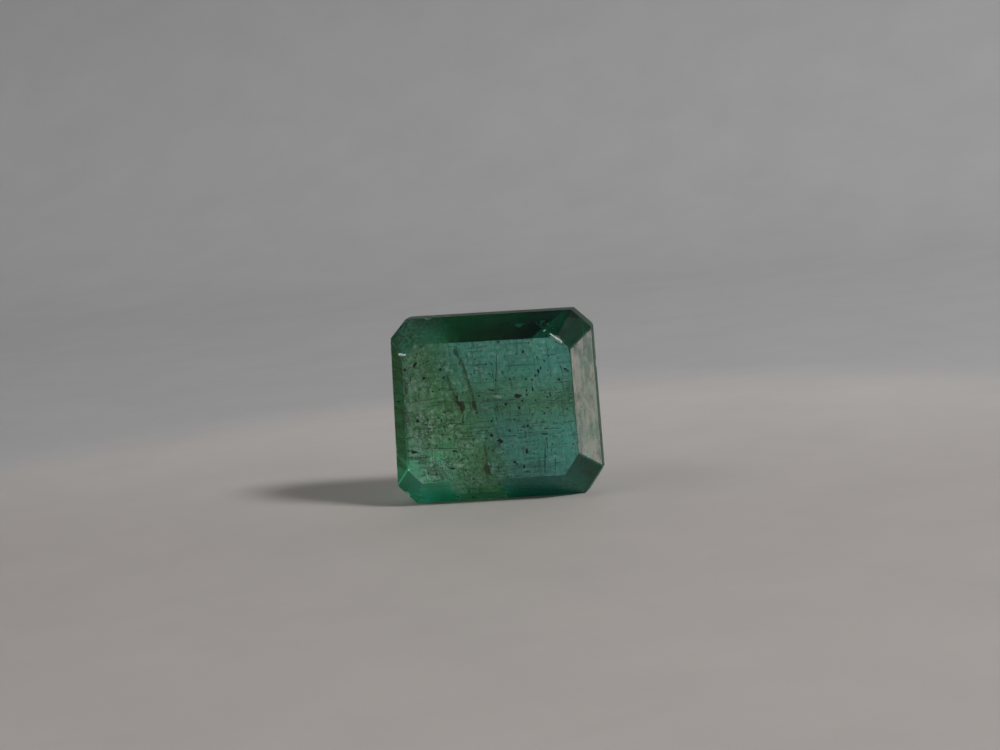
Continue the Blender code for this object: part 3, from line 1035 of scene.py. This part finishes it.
class EMERALD_OT_fractures_and_glints(bpy.types.Operator):
    """Fill the chips with their white fractured stone, whose white is also a painted glint on the chip
    edges
    """

    bl_idname = "emerald.fractures"
    bl_label = "White fractures and glints"

    def execute(self, context):
        rng = np.random.default_rng(context.scene.emerald_inclusions.seed + 4)
        rows = np.array(FRACTURES_AND_GLINTS)
        angles = np.zeros((len(rows), 3))
        angles[:, 0] = np.radians(rows[:, 6])
        white, tree, shader = fresh_material("fracture_and_painted_glint")
        place = millimetres(tree)
        grain = use_group(tree, grain_group(), {"Place": place, "Scale": 9.0, "Contrast": 4.0})
        tree.links.new(blend_colour(tree, grain.outputs["Mask"], (0.62, 0.80, 0.74),
                                    (0.97, 0.99, 0.98)), shader.inputs["Base Color"])
        bump = put(tree, "ShaderNodeBump", {"Strength": 0.5, "Distance": 0.02 * MM,
                                            "Height": grain.outputs["Height"]})
        tree.links.new(bump.outputs["Normal"], shader.inputs["Normal"])
        shader.inputs["Roughness"].default_value = 0.22
        piece = lumps("white_fractures_and_glints", rows[:, :3] * MM, rows[:, 3:6] * 1.12 * MM, turns(angles),
                      0.20, 2, 5, rng, white)
        piece.data.shade_flat()
        dress(piece)
        return {"FINISHED"}


# The stage


POOL_MIDDLE = (0.0, -12.0, 0.0)  # middle of the warm pool of floor round the stone, in mm
POOL_RADII = (36.0, 50.0)  # where its colour starts and ends to change, in mm


def sweep_backdrop(stage):
    """The floor that curves up into a wall: a profile carried straight across.

    The profile runs level from front to back, turns up through a quarter circle and ends in
    an upright wall.
    """
    half, front, back, bend, top = 0.60, -0.60, 0.085, 0.06, 0.50
    turn = np.linspace(0.0, np.pi / 2.0, 24)
    y = np.concatenate(((front, -0.02), back + bend * np.sin(turn), (back + bend,)))
    z = np.concatenate(((0.0, 0.0), bend - bend * np.cos(turn), (top,)))
    x = np.array((-half, half))
    grid_x, grid_y = np.meshgrid(x, y, indexing="ij")
    grid_z = np.broadcast_to(z, grid_x.shape)
    points = np.stack((grid_x, grid_y, grid_z), -1).reshape(-1, 3)
    number = np.arange(len(points)).reshape(grid_x.shape)
    quads = np.stack((number[0, :-1], number[1, :-1], number[1, 1:], number[0, 1:]), -1)
    material, tree, shader = fresh_material("pale_floor")
    place = millimetres(tree)
    middle = put(tree, "ShaderNodeVectorMath", {0: place, 1: POOL_MIDDLE}, operation="DISTANCE")
    far = ramp(tree, middle.outputs["Value"], *POOL_RADII)
    parts = put(tree, "ShaderNodeSeparateXYZ", {0: place})
    # painted reflection: the floor is painted lighter towards the back, standing in for its grazing
    # reflection of the wall
    lifted = math_node(tree, "MULTIPLY", ramp(tree, parts.outputs["Y"], -10.0, 30.0), 0.55)
    near = blend_colour(tree, lifted, stage.floor_colour, (0.92, 0.88, 0.85))
    tone = blend_colour(tree, far, near, stage.far_colour)
    tone = blend_colour(tree, ramp(tree, parts.outputs["Z"], 0.0, 60.0), tone, stage.wall_colour)
    soft = use_group(tree, grain_group(), {"Place": place, "Scale": 0.16, "Contrast": 2.0})
    tone = blend_colour(tree, math_node(tree, "MULTIPLY", soft.outputs["Mask"], 0.16), tone,
                        (0.36, 0.35, 0.34))
    tree.links.new(tone, shader.inputs["Base Color"])
    shader.inputs["Roughness"].default_value = 0.6
    shader.inputs["Specular IOR Level"].default_value = 0.4
    floor = new_piece("floor", points, quads, np.empty((0, 3), int), material)
    return floor


def look_along(back, roll):
    """A rotation whose view goes against back, turned by roll about it."""
    right = Vector((0.0, 0.0, 1.0)).cross(back).normalized()
    up = back.cross(right)
    rolled_right = right * math.cos(roll) - up * math.sin(roll)
    rolled_up = right * math.sin(roll) + up * math.cos(roll)
    return Matrix((rolled_right, rolled_up, back)).transposed()


def add_camera(stage):
    """The camera at the photograph's viewing angle."""
    data = bpy.data.cameras.new("camera")
    data.lens = stage.lens
    data.sensor_width = 36.0
    data.clip_start = 1.0 * MM
    data.clip_end = 10.0
    back = Vector((math.sin(stage.azimuth) * math.cos(stage.elevation),
                   -math.cos(stage.azimuth) * math.cos(stage.elevation),
                   math.sin(stage.elevation)))
    turn = look_along(back, stage.roll)
    aim = Vector((0.0, -0.80, 4.44)) * MM
    off_centre = Vector((-5.4, -31.8, -data.lens / data.sensor_width * 1000.0))
    off_centre /= -off_centre.z
    camera = bpy.data.objects.new("camera", data)
    camera.matrix_world = (Matrix.Translation(aim - turn @ off_centre * stage.distance)
                           @ turn.to_4x4())
    bpy.context.scene.collection.objects.link(camera)
    bpy.context.scene.camera = camera
    return camera


def add_panel(name, direction, distance, size, power, colour=(1.0, 1.0, 1.0)):
    """A soft rectangular light that faces the stone."""
    data = bpy.data.lights.new(name, "AREA")
    data.shape = "RECTANGLE"
    data.size, data.size_y = size
    data.energy = power
    data.color = colour
    lamp = bpy.data.objects.new(name, data)
    away = Vector(direction).normalized()
    lamp.location = away * distance + Vector((0.0, 0.0, 4.5 * MM))
    lamp.rotation_euler = away.to_track_quat("Z", "Y").to_euler()
    bpy.context.scene.collection.objects.link(lamp)
    return lamp


def room_world(stage):
    """A dim even room that is darker overhead."""
    world = bpy.data.worlds.new("room")
    world.use_nodes = True
    tree = world.node_tree
    direction = put(tree, "ShaderNodeTexCoord").outputs["Generated"]
    height = put(tree, "ShaderNodeSeparateXYZ", {0: direction}).outputs["Z"]
    tone = blend_colour(tree, ramp(tree, height, 0.25, 0.85), (1.0, 0.97, 0.94), (0.16, 0.17, 0.18))
    ground = tree.nodes["Background"]
    tree.links.new(tone, ground.inputs["Color"])
    ground.inputs["Strength"].default_value = stage.room_light
    return world


class EMERALD_OT_stage(bpy.types.Operator):
    """Set the floor, the soft light and the camera"""

    bl_idname = "emerald.stage"
    bl_label = "Stage"

    def execute(self, context):
        stage = context.scene.emerald_stage
        scene = context.scene
        sweep_backdrop(stage)
        add_camera(stage)
        add_panel("window", (0.714, -0.336, 0.616), 0.40, (0.07, 0.07), stage.window_power)
        add_panel("fill", (-0.55, -0.25, 0.78), 0.70, (0.40, 0.30), stage.fill_power,
                  (1.0, 0.95, 0.90))
        scene.world = room_world(stage)
        scene.view_settings.view_transform = "Standard"
        return {"FINISHED"}


class EMERALD_PT_panel(bpy.types.Panel):
    """Buttons for the stone, what lies in it, and its stage"""

    bl_idname = "EMERALD_PT_panel"
    bl_label = "Cut emerald"
    bl_space_type = "VIEW_3D"
    bl_region_type = "UI"
    bl_category = "Emerald"

    def draw(self, context):
        for group, operators in PANEL_ROWS:
            box = self.layout.box()
            settings = getattr(context.scene, group)
            for name in settings.__annotations__:
                box.prop(settings, name)
            for operator in operators:
                box.operator(operator.bl_idname)


PANEL_ROWS = (
    ("emerald_stone", (EMERALD_OT_stone, EMERALD_OT_films)),
    ("emerald_inclusions", (EMERALD_OT_crystals, EMERALD_OT_tubes, EMERALD_OT_stains,
                            EMERALD_OT_flakes, EMERALD_OT_fractures_and_glints)),
    ("emerald_stage", (EMERALD_OT_stage,)),
)
GROUPS = (
    ("emerald_stone", StoneSettings),
    ("emerald_inclusions", InclusionSettings),
    ("emerald_stage", StageSettings),
)
OPERATORS = tuple(operator for _, operators in PANEL_ROWS for operator in operators)


def register():
    """Register the settings, operators and panel."""
    for name, group in GROUPS:
        bpy.utils.register_class(group)
        setattr(bpy.types.Scene, name, bpy.props.PointerProperty(type=group))
    for operator in OPERATORS:
        bpy.utils.register_class(operator)
    bpy.utils.register_class(EMERALD_PT_panel)


def unregister():
    """Undo register, last first."""
    bpy.utils.unregister_class(EMERALD_PT_panel)
    for operator in reversed(OPERATORS):
        bpy.utils.unregister_class(operator)
    for name, group in reversed(GROUPS):
        delattr(bpy.types.Scene, name)
        bpy.utils.unregister_class(group)


def main():
    """Build everything in order."""
    register()
    bpy.ops.emerald.stone()
    bpy.ops.emerald.films()
    bpy.ops.emerald.crystals()
    bpy.ops.emerald.tubes()
    bpy.ops.emerald.stains()
    bpy.ops.emerald.flakes()
    bpy.ops.emerald.fractures()
    bpy.ops.emerald.stage()


if __name__ == "__main__":
    main()
